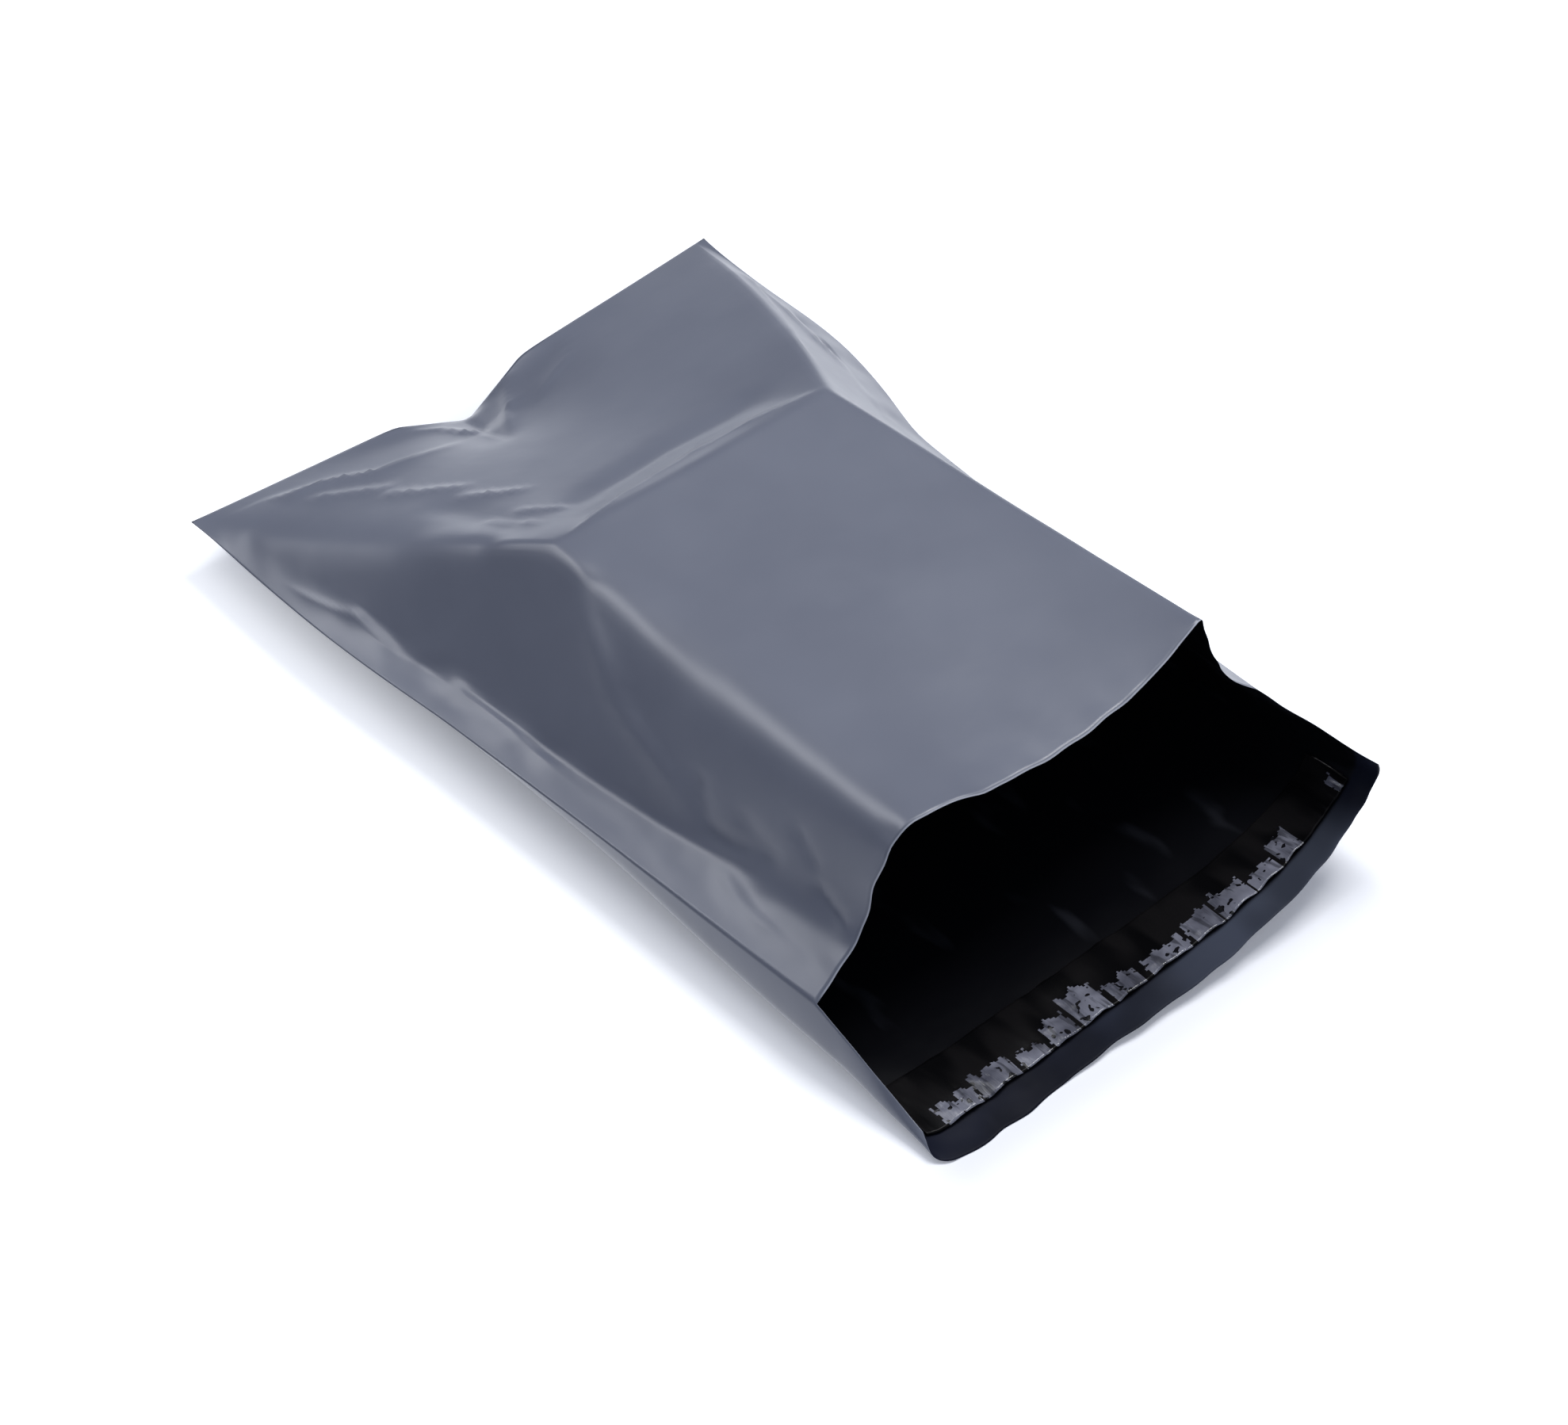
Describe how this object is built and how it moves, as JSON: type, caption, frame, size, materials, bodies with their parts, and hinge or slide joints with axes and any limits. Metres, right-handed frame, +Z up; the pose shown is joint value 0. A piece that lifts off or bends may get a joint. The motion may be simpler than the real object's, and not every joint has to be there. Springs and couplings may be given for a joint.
{
  "type": "poly mailer",
  "caption": "Film shipping envelope lying on its back, pocket standing open, with a lip that carries a sealing strip under a peel-off liner.",
  "frame": {"origin": "on the flat underside of the back panel, on the mailer's long axis, midway between the mouth and the closed bottom fold", "axes": "+Z up off the surface it lies on, +Y towards the closed bottom fold, +X across the width to the right seen from the mouth"},
  "size_m": [0.2342, 0.3816, 0.0876],
  "materials": {
    "grey_film": "satin co-extruded film, grey outside and black inside",
    "hot_melt": "clear tacky hot-melt over black film",
    "liner_film": "clear glossy release film, crinkled"
  },
  "bodies": {
    "root": {"film_body": "grey_film", "adhesive_strip": "hot_melt", "release_liner": "liner_film"}
  },
  "joints": []
}
